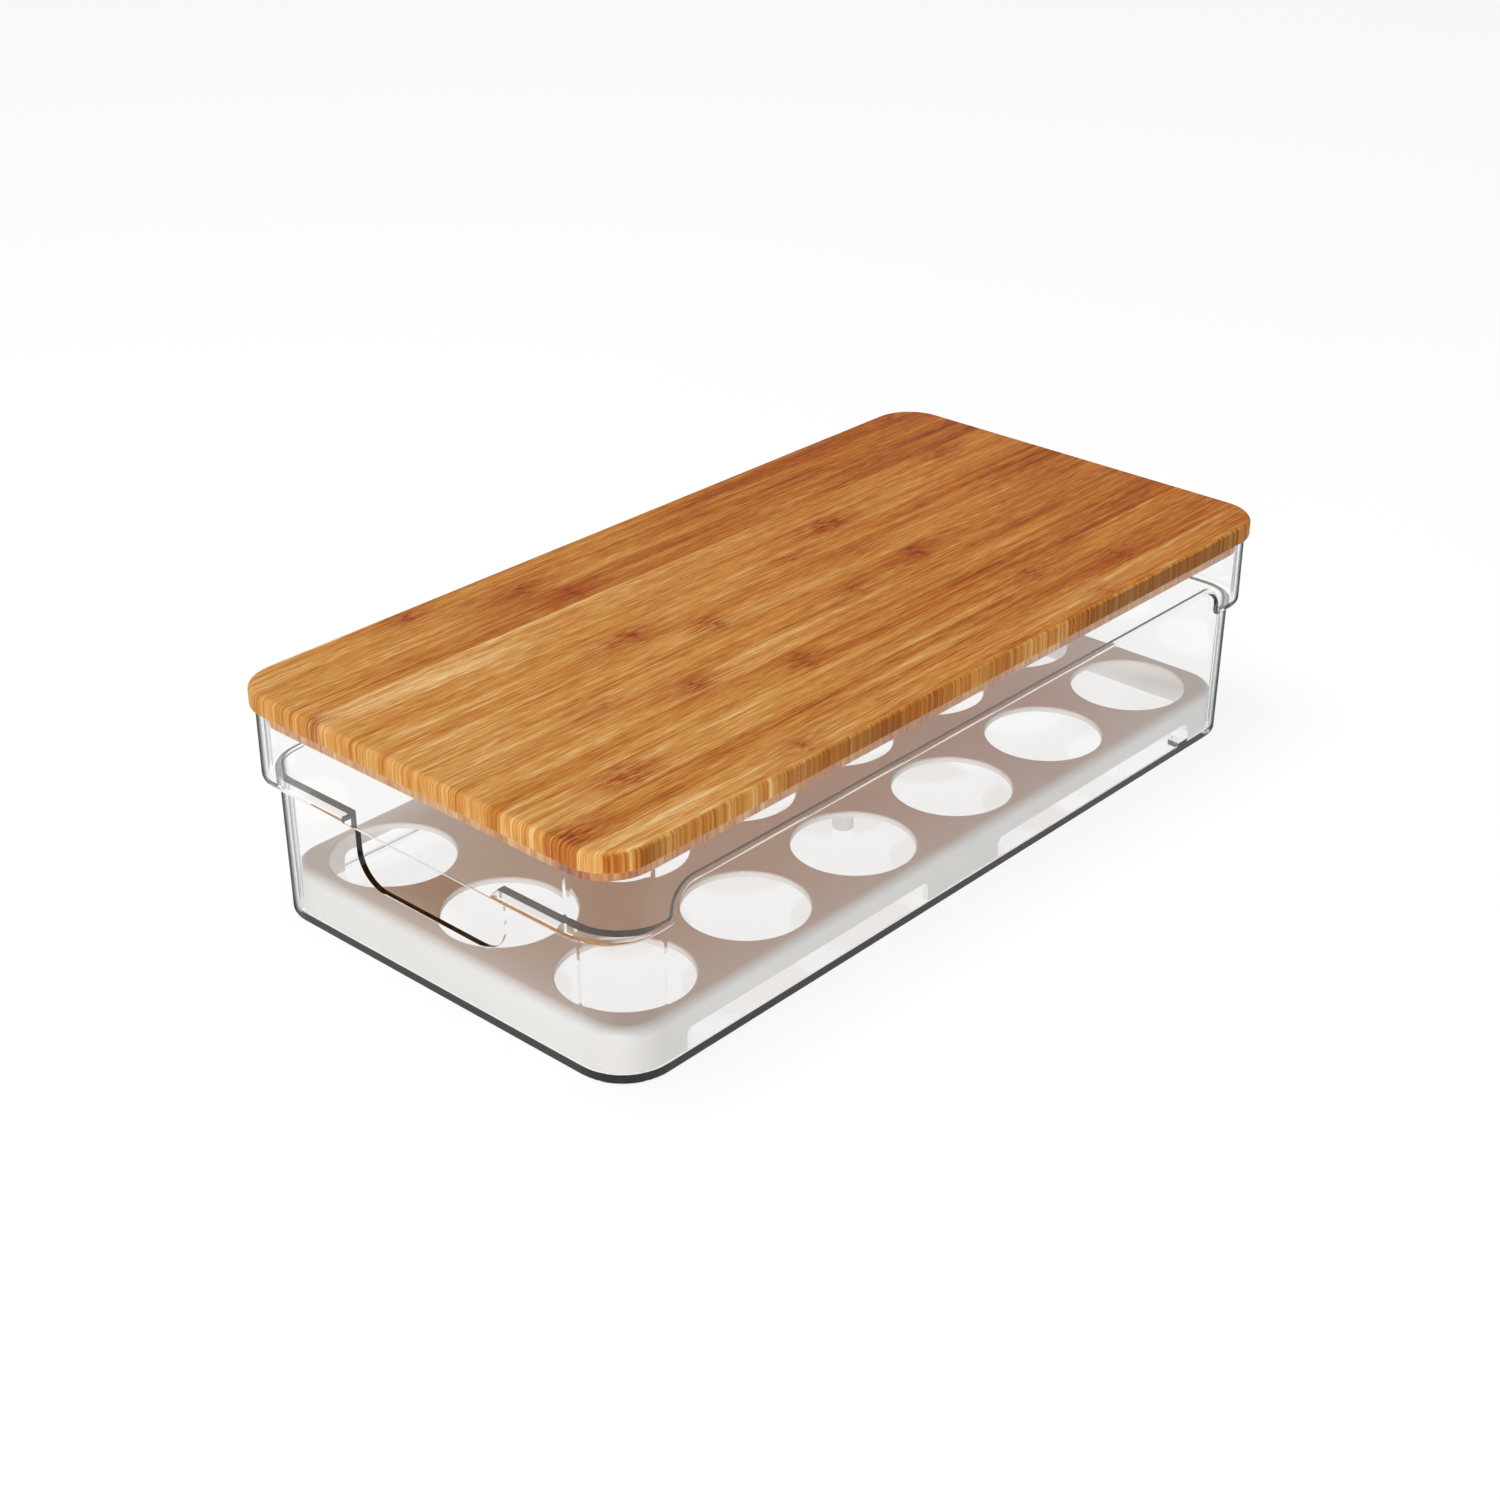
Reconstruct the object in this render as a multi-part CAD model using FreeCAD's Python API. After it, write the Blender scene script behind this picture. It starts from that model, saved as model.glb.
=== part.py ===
import FreeCAD, Part
import os
from math import cos, pi

from FreeCAD import Vector

# Egg holes: rows and columns with a web of plate between them and round them
hole_columns = 6
hole_rows = 3
hole_diameter = 39.4
hole_web = 10.6
hole_round = 0.6
end_web = 5.4
side_web = 4.5

# Egg tray: a plate on a drafted skirt, with long gaps under its sides and posts under its middle
tray_height = 14.1
tray_plate = 1.9
tray_wall = 2.0
tray_draft = 0.5
tray_radius = 14.0
tray_round = 3.0
corner_leg = 24.0
middle_leg = 36.0
gap_height = 6.7
gap_radius = 2.5
post_diameter = 7.0

# Bin: a tapered box round the tray, stepping out to a wider band under its rim
tray_clearance = 1.0
wall = 2.0
floor = 2.0
bin_height = 71.8
bin_draft = 0.8
foot_round = 0.5
floor_round_share = 0.9
end_step = 5.0
side_step = 0.9
rim_radius = 17.5
end_band = 23.8
side_band = 13.6
band_corner = 26.9
ledge_radius = 1.5
band_round = 1.4

# Hand hole under the band at each end, and the lugs that stop the tray lengthwise
handle_width = 63.5
handle_drop = 22.0
handle_radius = 11.0
lug_length = 6.0
lug_reach = 4.0
lug_headroom = 2.7

# Lid: a board of glued staves with a plug that drops inside the rim
stave_count = 13
lid_overhang = 0.6
lid_radius = 15.5
lid_thickness = 6.6
lid_top_round = 1.8
lid_bottom_round = 0.8
plug_depth = 4.5
plug_clearance = 1.5

# Every cut runs past the faces it opens by this much, and two things this near touch
overrun = 5.0
touch = 0.01

# The holes set the tray, the tray sets the bin and the bin sets the lid
hole_pitch = hole_diameter + hole_web
tray_length = hole_columns * hole_pitch - hole_web + 2 * (end_web + tray_draft)
tray_width = hole_rows * hole_pitch - hole_web + 2 * (side_web + tray_draft)
foot_margin = tray_clearance + wall
foot_length = tray_length + 2 * foot_margin
foot_width = tray_width + 2 * foot_margin
foot_radius = tray_radius + foot_margin
rim_length = foot_length + 2 * (bin_draft + end_step)
rim_width = foot_width + 2 * (bin_draft + side_step)
lid_length = rim_length + 2 * lid_overhang
lid_width = rim_width + 2 * lid_overhang
tray_top = floor + tray_height
end_ledge = bin_height - end_band
side_ledge = bin_height - side_band
band_low_radius = wall + ledge_radius
floor_round = floor_round_share * tray_clearance
lug_height = gap_height - lug_headroom
diagonal = cos(pi / 4)
along_x = Vector(1, 0, 0)
along_y = Vector(0, 1, 0)
along_z = Vector(0, 0, 1)


def rounded_outline(length, width, radius, z):
    # A closed rectangle with quarter-circle corners, centred on the Z axis
    x = length / 2 - radius
    y = width / 2 - radius
    centres = [Vector(x, y, z), Vector(-x, y, z), Vector(-x, -y, z), Vector(x, -y, z)]
    arcs = []
    for turn, centre in enumerate(centres):
        circle = Part.Circle(centre, along_z, radius)
        arcs.append(Part.ArcOfCircle(circle, turn * pi / 2, (turn + 1) * pi / 2))
    edges = []
    for arc, following in zip(arcs, arcs[1:] + arcs[:1]):
        edges.append(arc.toShape())
        edges.append(Part.LineSegment(arc.EndPoint, following.StartPoint).toShape())
    return Part.Wire(edges)


def tapered_block(length, width, radius, low, high, flare):
    # A rounded block that grows by the flare on every side from its low face to its high one
    bottom = rounded_outline(length, width, radius, low)
    top = rounded_outline(length + 2 * flare, width + 2 * flare, radius + flare, high)
    return Part.makeLoft([bottom, top], True, True)


def straight_block(length, width, radius, low, high):
    face = Part.Face(rounded_outline(length, width, radius, low))
    return face.extrude(along_z * (high - low))


def edges_at(shape, z):
    # The edges that lie in one level plane
    return [edge for edge in shape.Edges if all(abs(v.Z - z) < touch for v in edge.Vertexes)]


def region_above_ledge(inset):
    # Everything above the band's lower edge: level at the ends, rising in an S near each corner
    # to run higher along the sides. The inset moves it into the band by the wall thickness.
    far = rim_length / 2 + overrun
    rise_at = rim_length / 2 - band_corner
    high_radius = side_ledge - end_ledge - band_low_radius
    low_circle_x = rise_at + band_low_radius
    low_circle_z = end_ledge + band_low_radius
    high_circle_x = rise_at - high_radius
    high_circle_z = side_ledge - high_radius
    low_reach = band_low_radius - inset
    high_reach = high_radius + inset

    def point(x, z):
        return Vector(x, -rim_width, z)

    def half_path(side):
        low_start = point(side * low_circle_x, low_circle_z - low_reach)
        low_middle = point(side * (low_circle_x - low_reach * diagonal),
                           low_circle_z - low_reach * diagonal)
        turn = point(side * (low_circle_x - low_reach), low_circle_z)
        high_middle = point(side * (high_circle_x + high_reach * diagonal),
                            high_circle_z + high_reach * diagonal)
        high_end = point(side * high_circle_x, high_circle_z + high_reach)
        corner = point(side * far, low_circle_z - low_reach)
        top = point(side * far, bin_height + overrun)
        return [
            Part.LineSegment(top, corner),
            Part.LineSegment(corner, low_start),
            Part.Arc(low_start, low_middle, turn),
            Part.Arc(turn, high_middle, high_end),
        ]

    left = half_path(-1)
    right = half_path(1)
    across = Part.LineSegment(left[-1].EndPoint, right[-1].EndPoint)
    over = Part.LineSegment(right[0].StartPoint, left[0].StartPoint)
    curves = left + [across] + right[::-1] + [over]
    outline = Part.Wire([curve.toShape() for curve in curves])
    return Part.Face(outline).extrude(along_y * (2 * rim_width))


def upright_slot(width, low, high, radius, start, direction):
    # The face of a slot that runs along a level direction, with round lower corners
    across = along_z.cross(direction)
    bend = radius * (1 - diagonal)

    def point(sideways, z):
        return start + across * sideways + along_z * z

    half = width / 2
    left_side = point(-half, low + radius)
    left_foot = point(radius - half, low)
    right_foot = point(half - radius, low)
    right_side = point(half, low + radius)
    curves = [
        Part.LineSegment(point(-half, high), left_side),
        Part.Arc(left_side, point(bend - half, low + bend), left_foot),
        Part.LineSegment(left_foot, right_foot),
        Part.Arc(right_foot, point(half - bend, low + bend), right_side),
        Part.LineSegment(right_side, point(half, high)),
        Part.LineSegment(point(half, high), point(-half, high)),
    ]
    return Part.Face(Part.Wire([curve.toShape() for curve in curves]))


def make_band():
    # The wider upper band, with its lower outer edge rounded all the way round
    block = straight_block(rim_length, rim_width, rim_radius, 0, bin_height)
    band = block.common(region_above_ledge(0))
    side = rounded_outline(rim_length, rim_width, rim_radius, 0).extrude(along_z * bin_height)
    lower_edges = []
    for edge in band.Edges:
        middle = edge.valueAt((edge.FirstParameter + edge.LastParameter) / 2)
        below_rim = all(v.Z < side_ledge + touch for v in edge.Vertexes)
        if below_rim and side.distToShape(Part.Vertex(middle))[0] < touch:
            lower_edges.append(edge)
    return band.makeFillet(band_round, lower_edges)


def make_bin():
    box = tapered_block(foot_length, foot_width, foot_radius, 0, bin_height, bin_draft)
    box = box.makeFillet(foot_round, edges_at(box, 0))
    outside = box.fuse(make_band())

    inner_radius = foot_radius - wall
    inside = tapered_block(foot_length - 2 * wall, foot_width - 2 * wall, inner_radius,
                           floor, bin_height, bin_draft)
    inside = inside.makeFillet(floor_round, edges_at(inside, floor))
    mouth = straight_block(rim_length - 2 * wall, rim_width - 2 * wall, rim_radius - wall,
                           0, bin_height + overrun)
    shell = outside.cut(inside.fuse(mouth.common(region_above_ledge(wall))))

    slot_reach = rim_length / 2 - wall
    slot_depth = slot_reach - tray_length / 2 + overrun
    for end in (-1, 1):
        start = along_x * (end * slot_reach)
        slot = upright_slot(handle_width, end_ledge - handle_drop, end_ledge + wall, handle_radius,
                            start, along_x)
        shell = shell.cut(slot.extrude(along_x * (-end * slot_depth)))

    # One lug near the same end on each long side, just inside the tray's corner leg
    lug = Part.makeBox(lug_length, lug_reach + wall / 2, lug_height + floor / 2)
    lug.translate(Vector(tray_length / 2 - corner_leg - tray_clearance - lug_length,
                         foot_width / 2 - wall - lug_reach, floor / 2))
    return shell.fuse([lug, lug.mirror(Vector(0, 0, 0), along_y)]).removeSplitter()


def make_egg_tray():
    outside = tapered_block(tray_length, tray_width, tray_radius, floor, tray_top, -tray_draft)
    outside = outside.makeFillet(tray_round, edges_at(outside, tray_top))
    under_plate = tray_top - tray_plate
    inside = tapered_block(tray_length - 2 * tray_wall, tray_width - 2 * tray_wall,
                           tray_radius - tray_wall, floor, under_plate, -tray_draft)
    tray = outside.cut(inside)

    for row in (-1, 1):
        foot = Vector(0, row * hole_pitch / 2, floor)
        tray = tray.fuse(Part.makeCylinder(post_diameter / 2, tray_height - tray_plate / 2, foot))

    first_x = -(hole_columns - 1) * hole_pitch / 2
    first_y = -(hole_rows - 1) * hole_pitch / 2
    holes = []
    for column in range(hole_columns):
        for row in range(hole_rows):
            start = Vector(first_x + column * hole_pitch, first_y + row * hole_pitch,
                           under_plate - overrun)
            holes.append(Part.makeCylinder(hole_diameter / 2, tray_plate + 2 * overrun, start))
    tray = tray.cut(holes)
    hole_rims = [edge for edge in edges_at(tray, tray_top) if edge.isClosed()]
    tray = tray.makeFillet(hole_round, hole_rims)

    gap_length = tray_length / 2 - corner_leg - middle_leg / 2
    gap_x = middle_leg / 2 + gap_length / 2
    for x in (-gap_x, gap_x):
        for side in (-1, 1):
            start = Vector(x, side * (tray_width / 2 + overrun), 0)
            gap = upright_slot(gap_length, -gap_height, overrun, gap_radius, start, along_y)
            gap = gap.extrude(along_y * (-side * (2 * overrun + tray_wall)))
            gap = gap.mirror(Vector(0, 0, 0), along_z)
            gap.translate(along_z * floor)
            tray = tray.cut(gap)
    return tray.removeSplitter()


def make_lid_board():
    board = straight_block(lid_length, lid_width, lid_radius, bin_height, bin_height + lid_thickness)
    board = board.makeFillet(lid_top_round, edges_at(board, bin_height + lid_thickness))
    board = board.makeFillet(lid_bottom_round, edges_at(board, bin_height))
    plug_inset = wall + plug_clearance
    plug = straight_block(rim_length - 2 * plug_inset, rim_width - 2 * plug_inset, rim_radius - plug_inset,
                          bin_height - plug_depth, bin_height)
    return board.fuse(plug).removeSplitter()


def lid_staves():
    board = make_lid_board()
    stave_width = lid_width / stave_count
    staves = []
    for number in range(stave_count):
        low_y = number * stave_width - lid_width / 2
        slab = Part.makeBox(lid_length + 2 * overrun, stave_width,
                            lid_thickness + plug_depth + 2 * overrun)
        slab.translate(Vector(-lid_length / 2 - overrun, low_y, bin_height - plug_depth - overrun))
        staves.append(board.common(slab))
    return staves


def write(name, shape):
    solids = shape.Solids
    if len(solids) != 1 or not shape.isValid():
        raise ValueError(f"{name} is not one valid solid")
    solids[0].exportStep(f"parts/{name}.step")
    box = shape.optimalBoundingBox()
    print(f"{name}: {shape.Volume:.0f} mm3, {box.XLength:.1f} x {box.YLength:.1f} x {box.ZLength:.1f} mm")


os.makedirs("parts", exist_ok=True)
write("bin", make_bin())
write("egg_tray", make_egg_tray())
for index, stave in enumerate(lid_staves(), start=1):
    write(f"lid_stave_{index}", stave)
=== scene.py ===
from math import radians

import bpy
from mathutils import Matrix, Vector

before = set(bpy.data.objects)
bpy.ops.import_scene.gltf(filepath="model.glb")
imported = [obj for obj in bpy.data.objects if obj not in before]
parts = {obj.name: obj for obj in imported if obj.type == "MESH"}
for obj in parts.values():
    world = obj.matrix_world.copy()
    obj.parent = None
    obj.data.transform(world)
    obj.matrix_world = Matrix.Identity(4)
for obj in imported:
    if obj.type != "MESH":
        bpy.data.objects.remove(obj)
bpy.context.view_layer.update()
print("frame loaded:", len(parts), "nodes")


def tint(red, green, blue):
    # A screen colour of 0 to 255 as the linear colour that a socket takes
    return tuple((c / 255 / 12.92) if c < 10.4 else ((c / 255 + 0.055) / 1.055) ** 2.4
                 for c in (red, green, blue)) + (1.0,)


def metres(*millimetres):
    return tuple(length / 1000 for length in millimetres)


class Wire:
    # An output socket: sums on it add Math nodes
    def __init__(self, board, socket):
        self.board = board
        self.socket = socket

    def maths(self, operation, *values):
        return self.board.node("Math", {"operation": operation}, dict(enumerate(values)))

    def __add__(self, other):
        return self.maths("ADD", self, other)

    def __sub__(self, other):
        return self.maths("SUBTRACT", self, other)

    def __rsub__(self, other):
        return self.maths("SUBTRACT", other, self)

    def __mul__(self, other):
        return self.maths("MULTIPLY", self, other)

    def __truediv__(self, other):
        return self.maths("DIVIDE", self, other)

    def __rtruediv__(self, other):
        return self.maths("DIVIDE", other, self)

    def __abs__(self):
        return self.maths("ABSOLUTE", self)

    __radd__ = __add__
    __rmul__ = __mul__


class Board:
    # The node tree of one material or of the world
    def __init__(self, owner):
        owner.use_nodes = True
        self.owner = owner
        self.tree = owner.node_tree
        self.tree.nodes.clear()

    def node(self, kind, settings=None, inputs=None, output=0):
        made = self.tree.nodes.new("ShaderNode" + kind)
        for name, value in (settings or {}).items():
            if name == "stops":
                for place, shade in value[1:-1]:
                    made.color_ramp.elements.new(place)
                for stop, (place, shade) in zip(made.color_ramp.elements, value):
                    stop.position = place
                    stop.color = shade
            else:
                setattr(made, name, value)
        for key, value in (inputs or {}).items():
            if isinstance(value, Wire):
                self.tree.links.new(value.socket, made.inputs[key])
            else:
                made.inputs[key].default_value = value
        return Wire(self, made.outputs[output]) if made.outputs else None

    def place(self):
        return self.node("TexCoord", output="Object")

    def along(self, axis, vector):
        return self.node("SeparateXYZ", inputs={0: vector}, output=axis)

    def vector(self, operation, *values, output=0):
        return self.node("VectorMath", {"operation": operation}, dict(enumerate(values)), output)

    def noise(self, place, size, seed=0.0, detail=2.0, roughness=0.5):
        # Cloudy noise whose blotches have this size in mm along x, y and z
        stretched = self.vector("MULTIPLY_ADD", place, tuple(1000 / s for s in size),
                                (seed * 7.31, seed * 3.77, seed * 5.13))
        return self.node("TexNoise", {"noise_dimensions": "3D"},
                         {"Vector": stretched, "Scale": 1.0, "Detail": detail, "Roughness": roughness})

    def nudge(self, place, axis, noise, reach):
        # Moves the place along one axis as the noise says
        return self.vector("ADD", place, self.node("CombineXYZ", inputs={axis: (noise - 0.5) * reach}))

    def spot(self, place, middle, reach):
        # 1 in the middle, fading out over its reach along x, y and z
        offset = self.vector("DIVIDE", self.vector("SUBTRACT", place, middle), reach)
        distance = self.vector("DOT_PRODUCT", offset, offset, output="Value")
        return self.node("Math", {"operation": "EXPONENT"}, {0: distance * -1.0})

    def spread(self, value, low, high):
        # Stretches low..high to 0..1 with soft ends
        return self.node("MapRange", {"interpolation_type": "SMOOTHSTEP"},
                         {"Value": value, "From Min": low, "From Max": high})

    def between(self, share, ends):
        low, high = ends
        return low + (high - low) * share

    def blend(self, share, first, second, way="MIX"):
        return self.node("Mix", {"data_type": "RGBA", "blend_type": way},
                         {0: share, 6: first, 7: second}, output=2)

    def either(self, share, first, second):
        return self.node("MixShader", inputs={0: share, 1: first, 2: second})

    def bump(self, height, strength, distance):
        return self.node("Bump", inputs={"Height": height, "Strength": strength, "Distance": distance})

    def ray(self, way):
        return self.node("LightPath", output=f"Is {way} Ray")

    def plastic(self, **sockets):
        return self.node("BsdfPrincipled", inputs={name.replace("_", " "): v for name, v in sockets.items()})

    def close(self, shader, kind="OutputMaterial"):
        self.node(kind, inputs={"Surface": shader})
        return self.owner


def dress(name, material):
    for slot in parts[name].material_slots:
        slot.material = material


# Clear bin: polished moulding, so clear that only its edges draw lines; at the rounded corners these lines are
# painted shade

binLook = {
    "ior": 1.5,
    "glass": (0.978, 0.982, 0.982, 1.0),
    "shade": (0.95, 0.955, 0.955, 1.0),     # what the walls let through onto the tray
    "roughness": (0.0, 0.02),
    "hazeSize": (45, 45, 30),
    "hazeSpread": (0.45, 0.8),
    "rippleSize": (60, 60, 40),
    "rippleStrength": 0.1,
    "rippleHeight": 0.00002,
    # Painted shade: the dark grey that rounded corners take towards their outline stands in for dark surroundings
    # refracted there
    "edge": (0.16, 0.165, 0.17, 1.0),       # rounded corners go grey towards their outline
    "edgeSpread": (0.55, 0.8),
    "edgeShare": 0.9,
    "cornerSpread": (0.03, 0.2),            # flat walls stay clear, seen along them too
}


def clearPlastic():
    board = Board(bpy.data.materials.new("clearPlastic"))
    place = board.place()
    haze = board.spread(board.noise(place, binLook["hazeSize"], 3, 3.0), *binLook["hazeSpread"])
    ripple = board.noise(place, binLook["rippleSize"], 5, 1.0)
    body = board.plastic(
        Base_Color=binLook["glass"], Roughness=board.between(haze, binLook["roughness"]),
        IOR=binLook["ior"], Transmission_Weight=1.0,
        Normal=board.bump(ripple, binLook["rippleStrength"], binLook["rippleHeight"]))

    # Light reaches the tray through the walls as if they were thin
    through = board.node("BsdfTransparent", inputs={"Color": binLook["shade"]})
    shaded = board.either(board.ray("Shadow"), body, through)
    lit = board.either(board.ray("Diffuse"), shaded, through)

    # Painted dark refraction: rounded corners fade to a dark grey towards their outline, in place of dark
    # surroundings refracted by the plastic
    facing = board.node("LayerWeight", inputs={"Blend": 0.5}, output="Facing")
    normal = board.node("TexCoord", output="Normal")
    corner = board.spread(abs(board.along("X", normal) * board.along("Y", normal)), *binLook["cornerSpread"])
    edge = board.spread(facing, *binLook["edgeSpread"]) * corner * binLook["edgeShare"]
    paintedEdgeGrey = board.node("BsdfTransparent", inputs={"Color": binLook["edge"]})
    return board.close(board.either(edge, lit, paintedEdgeGrey))


dress("bin", clearPlastic())
print("bin dressed")


# Egg tray: satin white moulding

trayLook = {
    "ior": 1.48,
    "white": tint(235, 232, 229),
    "warm": tint(230, 225, 220),
    "cloudSize": (55, 55, 30),
    "warmSpread": (0.35, 0.7),
    "roughness": (0.38, 0.5),
    "roughSpread": (0.3, 0.75),
    "grainSize": (0.5, 0.5, 0.5),
    "grainStrength": 0.25,
    "grainHeight": 0.00004,
}


def whitePlastic():
    board = Board(bpy.data.materials.new("whitePlastic"))
    place = board.place()
    cloud = board.noise(place, trayLook["cloudSize"], 11, 3.0)
    grain = board.noise(place, trayLook["grainSize"], 12, 2.0)
    warmth = board.spread(cloud, *trayLook["warmSpread"])
    rough = board.spread(cloud, *trayLook["roughSpread"])
    return board.close(board.plastic(
        Base_Color=board.blend(warmth, trayLook["white"], trayLook["warm"]),
        Roughness=board.between(rough, trayLook["roughness"]), IOR=trayLook["ior"],
        Normal=board.bump(grain, trayLook["grainStrength"], trayLook["grainHeight"])))


dress("egg_tray", whitePlastic())
print("egg tray dressed")


# Bamboo lid: every stave has its own tone, waviness and knuckles

lidLook = {
    "ior": 1.45,
    "gloss": 0.07,
    "roughness": (0.42, 0.6),
    "roughSpread": (0.3, 0.7),
    "fibreStrength": 0.35,
    "fibreHeight": 0.00012,
    # The palest stop serves both the bamboo's pale fibres and a painted sheen, glints on the fibres drawn into the
    # colour
    "stops": [(0.0, tint(116, 44, 11)), (0.25, tint(163, 87, 29)), (0.48, tint(192, 124, 52)),
              (0.72, tint(213, 156, 84)), (1.0, tint(240, 202, 148))],
    "red": (0.97, 0.79, 0.6, 1.0),
    "knuckle": tint(158, 68, 19),
    "node": tint(126, 48, 12),
    "seam": tint(100, 46, 16),
    "staveWidth": 12.308,       # mm
    "middleStave": 7,
    "tone": 0.53,
    # Darker and redder along x: partly the board's own tone, partly painted shade where the light falls off
    # towards +x
    "toneAndShadeDarkening": 0.8,           # how much darker the board gets along x, per metre
    "toneAndShadeReddening": 1.1,           # and how much redder
    "redSpread": (0.4, 0.72),
    "sway": 0.004,
    "driftWeight": 0.3,
    "grain": {                  # size in mm, seed, detail, roughness and weight in the tone
        "patch": ((55, 7, 60), 13, 2.0, 0.5, 0.45),
        "broad": ((140, 2.6, 60), 3, 3.0, 0.5, 0.72),
        "fibre": ((26, 0.85, 30), 4, 3.0, 0.6, 0.65),
        "fine": ((8, 0.42, 20), 5, 2.0, 0.6, 0.95),
    },
    "darkSpread": (0.57, 0.74),
    "darkWeight": 0.22,
    "sideTone": 0.56,           # the long sides show short upright stripes in blocks
    "sideSpread": (0.35, 0.75),
    "stripeWeight": 1.25,
    "blockLength": 0.0125,
    "blockWeight": 0.3,
    "sideRed": 0.7,             # how much of the red the sides lose
    "comb": 0.03,               # how far knuckles are combed out along the fibres
    "wobble": 0.012,
    "dashSpread": (0.32, 0.66),
    "dashShare": 0.7,
    "knuckleHeight": 74,        # mm
    "knuckleDepth": 30,
    "nodeLength": 1.4,
    "nodeNarrowing": 1.2,
    "nodeShare": 0.9,
    "seamWidth": 0.0005,
    "seamSpread": (0.45, 0.7),
    "seamShare": 0.6,
}

# A knuckle is x and y of its middle, its length and width in mm, and its strength
staves = {
    1: {"tone": 0.08, "wave": 0.5, "knuckles": [(-76, -73, 12, 6, 0.7), (69, -75, 9, 5, 0.6)]},
    2: {"tone": 0.0, "wave": 0.6, "knuckles": [(96, -63, 16, 6, 1.1), (-156, -62, 15, 7, 1.1)]},
    3: {"tone": 0.06, "wave": 0.5, "knuckles": [(-121, -49, 12, 7, 1.1), (64, -50, 10, 6, 0.9)]},
    4: {"tone": -0.08, "wave": 0.5, "knuckles": [(-34, -37, 7, 6, 1.2)]},
    5: {"tone": 0.0, "wave": 0.6, "knuckles": [(-69, -25, 11, 7, 1.0)]},
    6: {"tone": 0.0, "wave": 2.0,
        "knuckles": [(53, -11, 11, 6, 1.2), (16, -14, 11, 4, 0.9), (-96, -15, 12, 3, 0.6)]},
    7: {"tone": 0.06, "wave": 0.6, "knuckles": [(-34, 1, 7, 7, 1.0)]},
    8: {"tone": -0.02, "wave": 0.7, "knuckles": [(-57, 13, 14, 6, 1.1), (22, 17, 9, 4, 0.8)]},
    9: {"tone": 0.05, "wave": 1.0, "knuckles": [(50, 25, 14, 6, 1.3)]},
    10: {"tone": 0.1, "wave": 0.5, "knuckles": [(130, 38, 10, 6, 1.1), (-159, 41, 8, 4, 0.8)]},
    11: {"tone": -0.1, "wave": 0.5, "knuckles": [(-47, 50, 13, 7, 1.2)]},
    12: {"tone": -0.05, "wave": 1.0, "knuckles": [(-57, 63, 12, 7, 1.1)]},
    13: {"tone": -0.06, "wave": 0.6, "knuckles": [(-94, 75, 10, 5, 1.0), (145, 73, 9, 5, 1.0)]},
}


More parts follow.
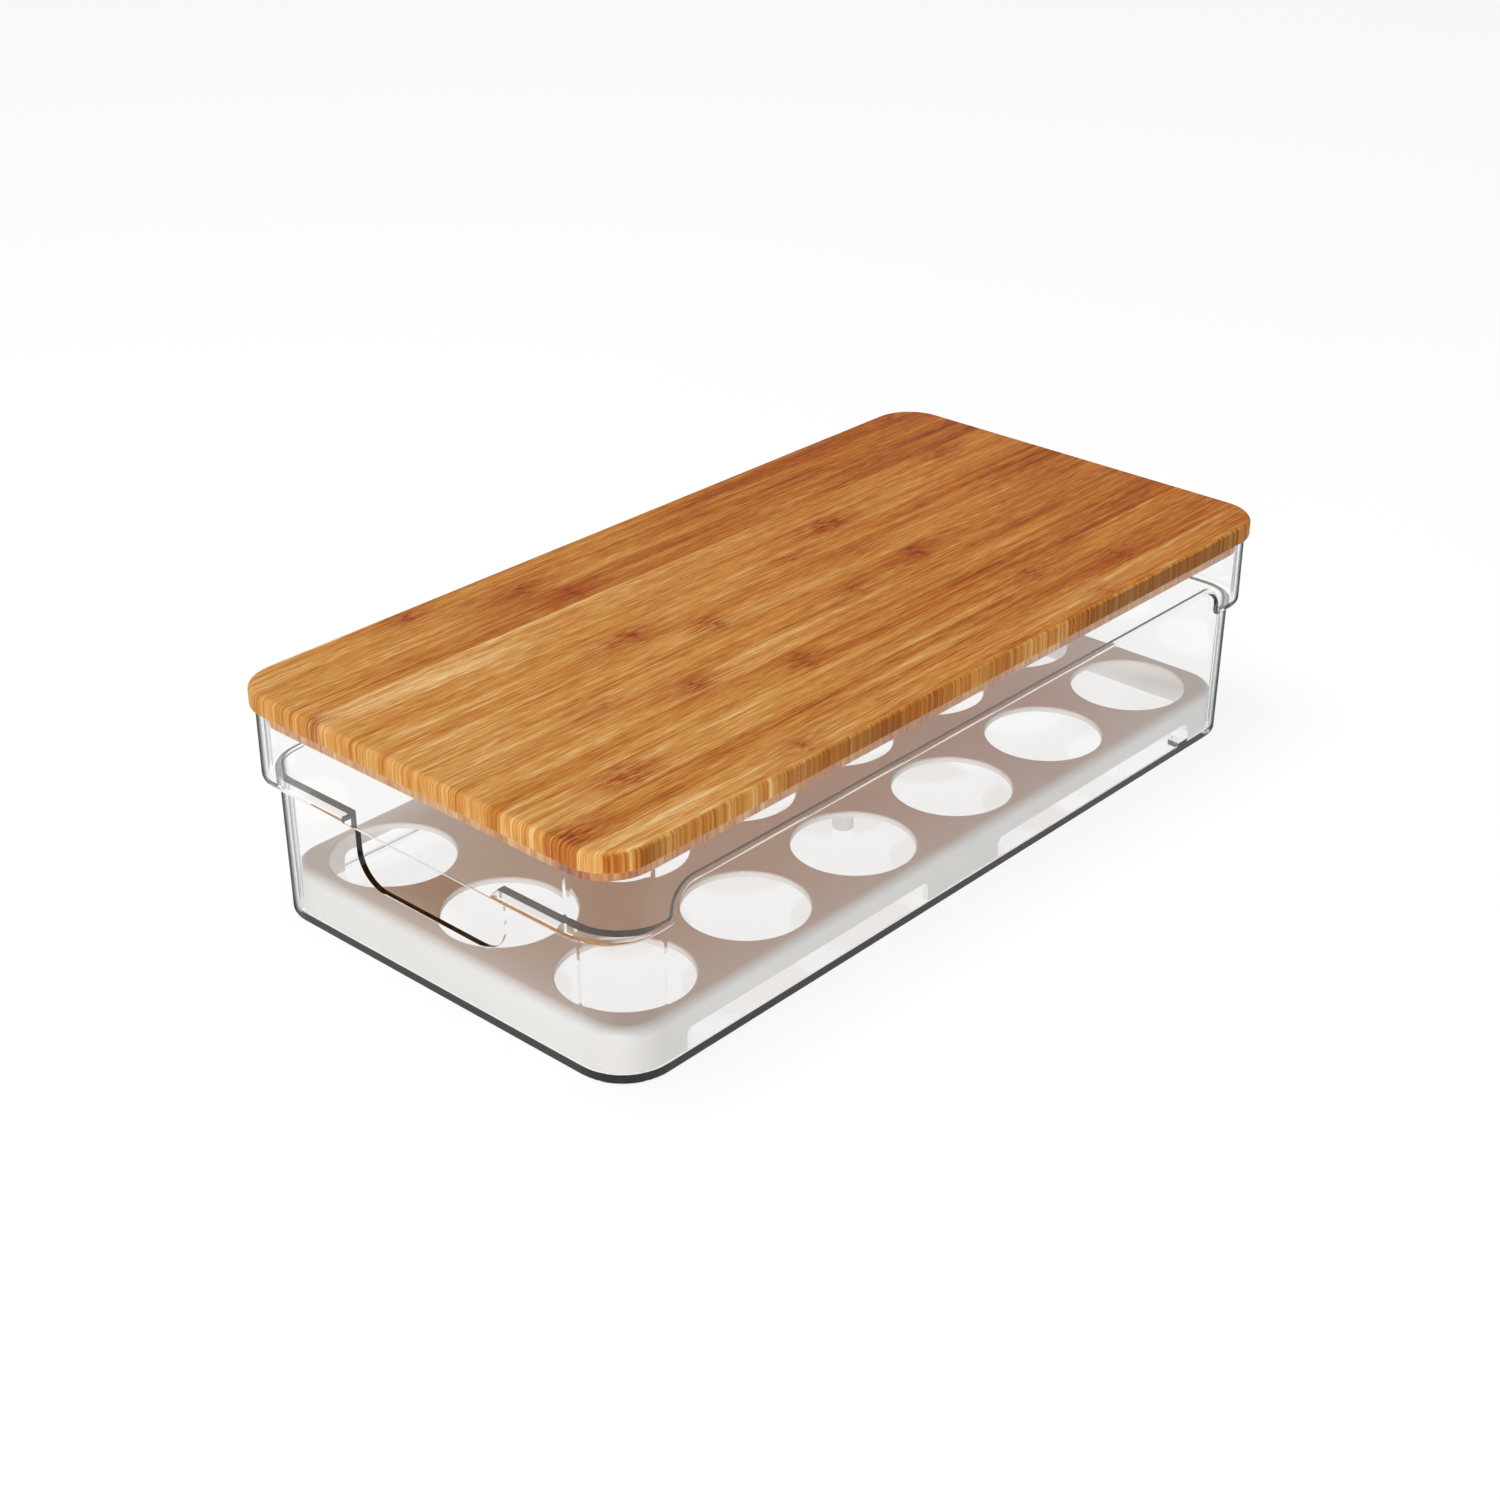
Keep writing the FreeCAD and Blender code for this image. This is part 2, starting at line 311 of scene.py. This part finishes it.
def bamboo(number, stave):
    board = Board(bpy.data.materials.new(f"bambooStave{number}"))
    place = board.place()
    seed = number * 1.37
    x = board.along("X", place)
    y = board.along("Y", place)

    # Fibres run along x and waver a little
    swayed = board.nudge(place, "Y", board.noise(place, (70, 9, 40), seed + 1, 1.0),
                         stave["wave"] * lidLook["sway"])
    drift = board.noise(place, (160, 40, 60), seed + 2, 1.0)
    # The board gets darker along x, partly its own tone and partly painted shade of the light falling off towards
    # +x
    shade = lidLook["tone"] + stave["tone"] - x * lidLook["toneAndShadeDarkening"] + (drift - 0.5) * lidLook["driftWeight"]
    grain = {}
    for name, (size, step, detail, roughness, weight) in lidLook["grain"].items():
        grain[name] = board.noise(swayed, size, seed + step, detail, roughness)
        shade = shade + (grain[name] - 0.5) * weight
    dark = board.spread(board.noise(swayed, (60, 0.9, 30), seed + 6, 2.0), *lidLook["darkSpread"])
    shade = shade - dark * lidLook["darkWeight"]

    # Stripes of the long sides
    stripe = board.noise(place, (1.1, 60, 60), seed + 9, 2.0, 0.65)
    step = board.node("Math", {"operation": "FLOOR"}, {0: x / lidLook["blockLength"] + 0.5})
    block = board.node("TexWhiteNoise", {"noise_dimensions": "1D"}, {"W": step})
    sideShade = (lidLook["sideTone"] + (stripe - 0.5) * lidLook["stripeWeight"]
                 + (block - 0.5) * lidLook["blockWeight"])
    facing = board.along("Y", board.node("TexCoord", output="Normal"))
    sideShare = board.spread(abs(facing), *lidLook["sideSpread"])
    shade = shade * (1 - sideShare) + sideShade * sideShare
    colour = board.node("ValToRGB", {"stops": lidLook["stops"]}, {"Fac": shade})

    # Redder along x, partly the board's own tone and partly painted shade of the light falling off towards +x
    redNoise = board.noise(swayed, (90, 4, 60), seed + 11, 2.0)
    redness = board.spread(redNoise + x * lidLook["toneAndShadeReddening"], *lidLook["redSpread"])
    colour = board.blend(redness * (1 - lidLook["sideRed"] * sideShare), colour, lidLook["red"], "MULTIPLY")

    # Knuckles: reddish smears combed out along the fibres, with a dark line across, broken up into dashes
    combed = board.nudge(place, "X", board.noise(swayed, (60, 0.7, 60), seed + 7, 2.0), lidLook["comb"])
    wobbled = board.nudge(place, "X", board.noise(place, (30, 2.5, 60), seed + 12, 2.0), lidLook["wobble"])
    dash = board.spread(board.noise(swayed, (5, 0.9, 20), seed + 8, 2.0), *lidLook["dashSpread"])
    dashed = (1 - lidLook["dashShare"]) + lidLook["dashShare"] * dash
    depth = lidLook["knuckleDepth"]
    for knuckleX, knuckleY, length, width, strength in stave["knuckles"]:
        middle = metres(knuckleX, knuckleY, lidLook["knuckleHeight"])
        smear = board.spot(combed, middle, metres(length, width, depth))
        colour = board.blend(smear * dashed * strength, colour, lidLook["knuckle"])
        line = board.spot(wobbled, middle, metres(lidLook["nodeLength"], width / lidLook["nodeNarrowing"], depth))
        colour = board.blend(line * dash * strength * lidLook["nodeShare"], colour, lidLook["node"])

    # Glue lines where staves meet, in places
    halfWidth = lidLook["staveWidth"] / 2000
    middleY = (number - lidLook["middleStave"]) * lidLook["staveWidth"] / 1000
    seam = board.spread(abs(y - middleY), halfWidth - lidLook["seamWidth"], halfWidth)
    broken = board.spread(board.noise(place, (40, 400, 400), seed + 10, 2.0), *lidLook["seamSpread"])
    colour = board.blend(seam * broken * lidLook["seamShare"], colour, lidLook["seam"])

    rough = board.spread(grain["fibre"], *lidLook["roughSpread"])
    return board.close(board.plastic(
        Base_Color=colour, Roughness=board.between(rough, lidLook["roughness"]), IOR=lidLook["ior"],
        Specular_IOR_Level=lidLook["gloss"],
        Normal=board.bump(grain["fibre"] + grain["fine"] * 0.5, lidLook["fibreStrength"], lidLook["fibreHeight"])))


for number, stave in staves.items():
    dress(f"lid_stave_{number}", bamboo(number, stave))
print("lid dressed:", len(staves), "staves")


# Floor, surroundings, lamps and camera

studio = {
    "floor": 8.0,
    "floorGap": 0.0005,
    "floorWhite": (0.9, 0.9, 0.9, 1.0),
    "shadowShare": 0.25,        # how much of the shadow the white floor shows
    "floorShine": 1.1,
    "floorGlow": 0.9,           # the floor lights the object like a lit white table
    "skyLow": 0.1,
    "skyHigh": 0.72,
    "skySpread": (0.5, 0.9),
    "lamps": {                  # place, size, power
        "softboxAbove": ((-0.25, 0.15, 1.28), 0.7, 7.8),
        "softboxLeft": ((-1.25, -0.65, 0.18), 0.32, 8.8),
    },
    "lampAim": (0, 0, 0.04),
    "cameraPlace": (-0.5459, -0.4782, 0.4060),
    "cameraTurn": (90 - 27.957, 0.0, -47.908),
    "sensor": 36.0,
    "lens": 59.656,
    "clipStart": 0.01,
}


def addToScene(name, data):
    holder = bpy.data.objects.new(name, data)
    bpy.context.scene.collection.objects.link(holder)
    return holder


def seenShare(board):
    # 1 for what the camera sees straight, in a gloss or through glass, otherwise 0
    straight, gloss, glass = [board.ray(way) for way in ("Camera", "Glossy", "Transmission")]
    return board.node("Math", {"operation": "ADD", "use_clamp": True}, {0: straight + gloss, 1: glass})


def makeFloor():
    half = studio["floor"] / 2
    corners = [(-half, -half, 0), (half, -half, 0), (half, half, 0), (-half, half, 0)]
    mesh = bpy.data.meshes.new("floor")
    mesh.from_pydata(corners, [], [(0, 1, 2, 3)])
    floor = addToScene("floor", mesh)
    floor.location.z = -studio["floorGap"]
    board = Board(bpy.data.materials.new("floorPaper"))
    paper = board.node("BsdfDiffuse", inputs={"Color": studio["floorWhite"]})
    glow = board.either(studio["floorGlow"], paper, board.node("Emission"))
    white = board.node("Emission", inputs={"Strength": studio["floorShine"]})
    sight = board.either(studio["shadowShare"], white, paper)
    mesh.materials.append(board.close(board.either(seenShare(board), glow, sight)))


def makeSky():
    world = bpy.data.worlds.new("studioWhite")
    bpy.context.scene.world = world
    board = Board(world)
    seen = seenShare(board)
    height = board.along("Z", board.node("TexCoord", output="Generated"))
    sky = board.between(board.spread(height, *studio["skySpread"]), (studio["skyLow"], studio["skyHigh"]))
    board.close(board.node("Background", inputs={
        "Color": (1.0, 1.0, 1.0, 1.0), "Strength": sky * (1 - seen) + seen}), "OutputWorld")


def makeLamp(name, place, size, power):
    lamp = bpy.data.lights.new(name, "AREA")
    lamp.shape = "SQUARE"
    lamp.size = size
    lamp.energy = power
    holder = addToScene(name, lamp)
    holder.location = place
    aim = Vector(studio["lampAim"]) - holder.location
    holder.rotation_euler = aim.to_track_quat("-Z", "Y").to_euler()


def makeCamera():
    camera = bpy.data.cameras.new("camera")
    camera.sensor_width = studio["sensor"]
    camera.sensor_fit = "HORIZONTAL"
    camera.lens = studio["lens"]
    camera.clip_start = studio["clipStart"]
    holder = addToScene("camera", camera)
    holder.location = studio["cameraPlace"]
    holder.rotation_euler = [radians(a) for a in studio["cameraTurn"]]
    bpy.context.scene.camera = holder


makeFloor()
makeSky()
for name, lamp in studio["lamps"].items():
    makeLamp(name, *lamp)
makeCamera()
bpy.context.scene.view_settings.view_transform = "Standard"
print("studio ready")
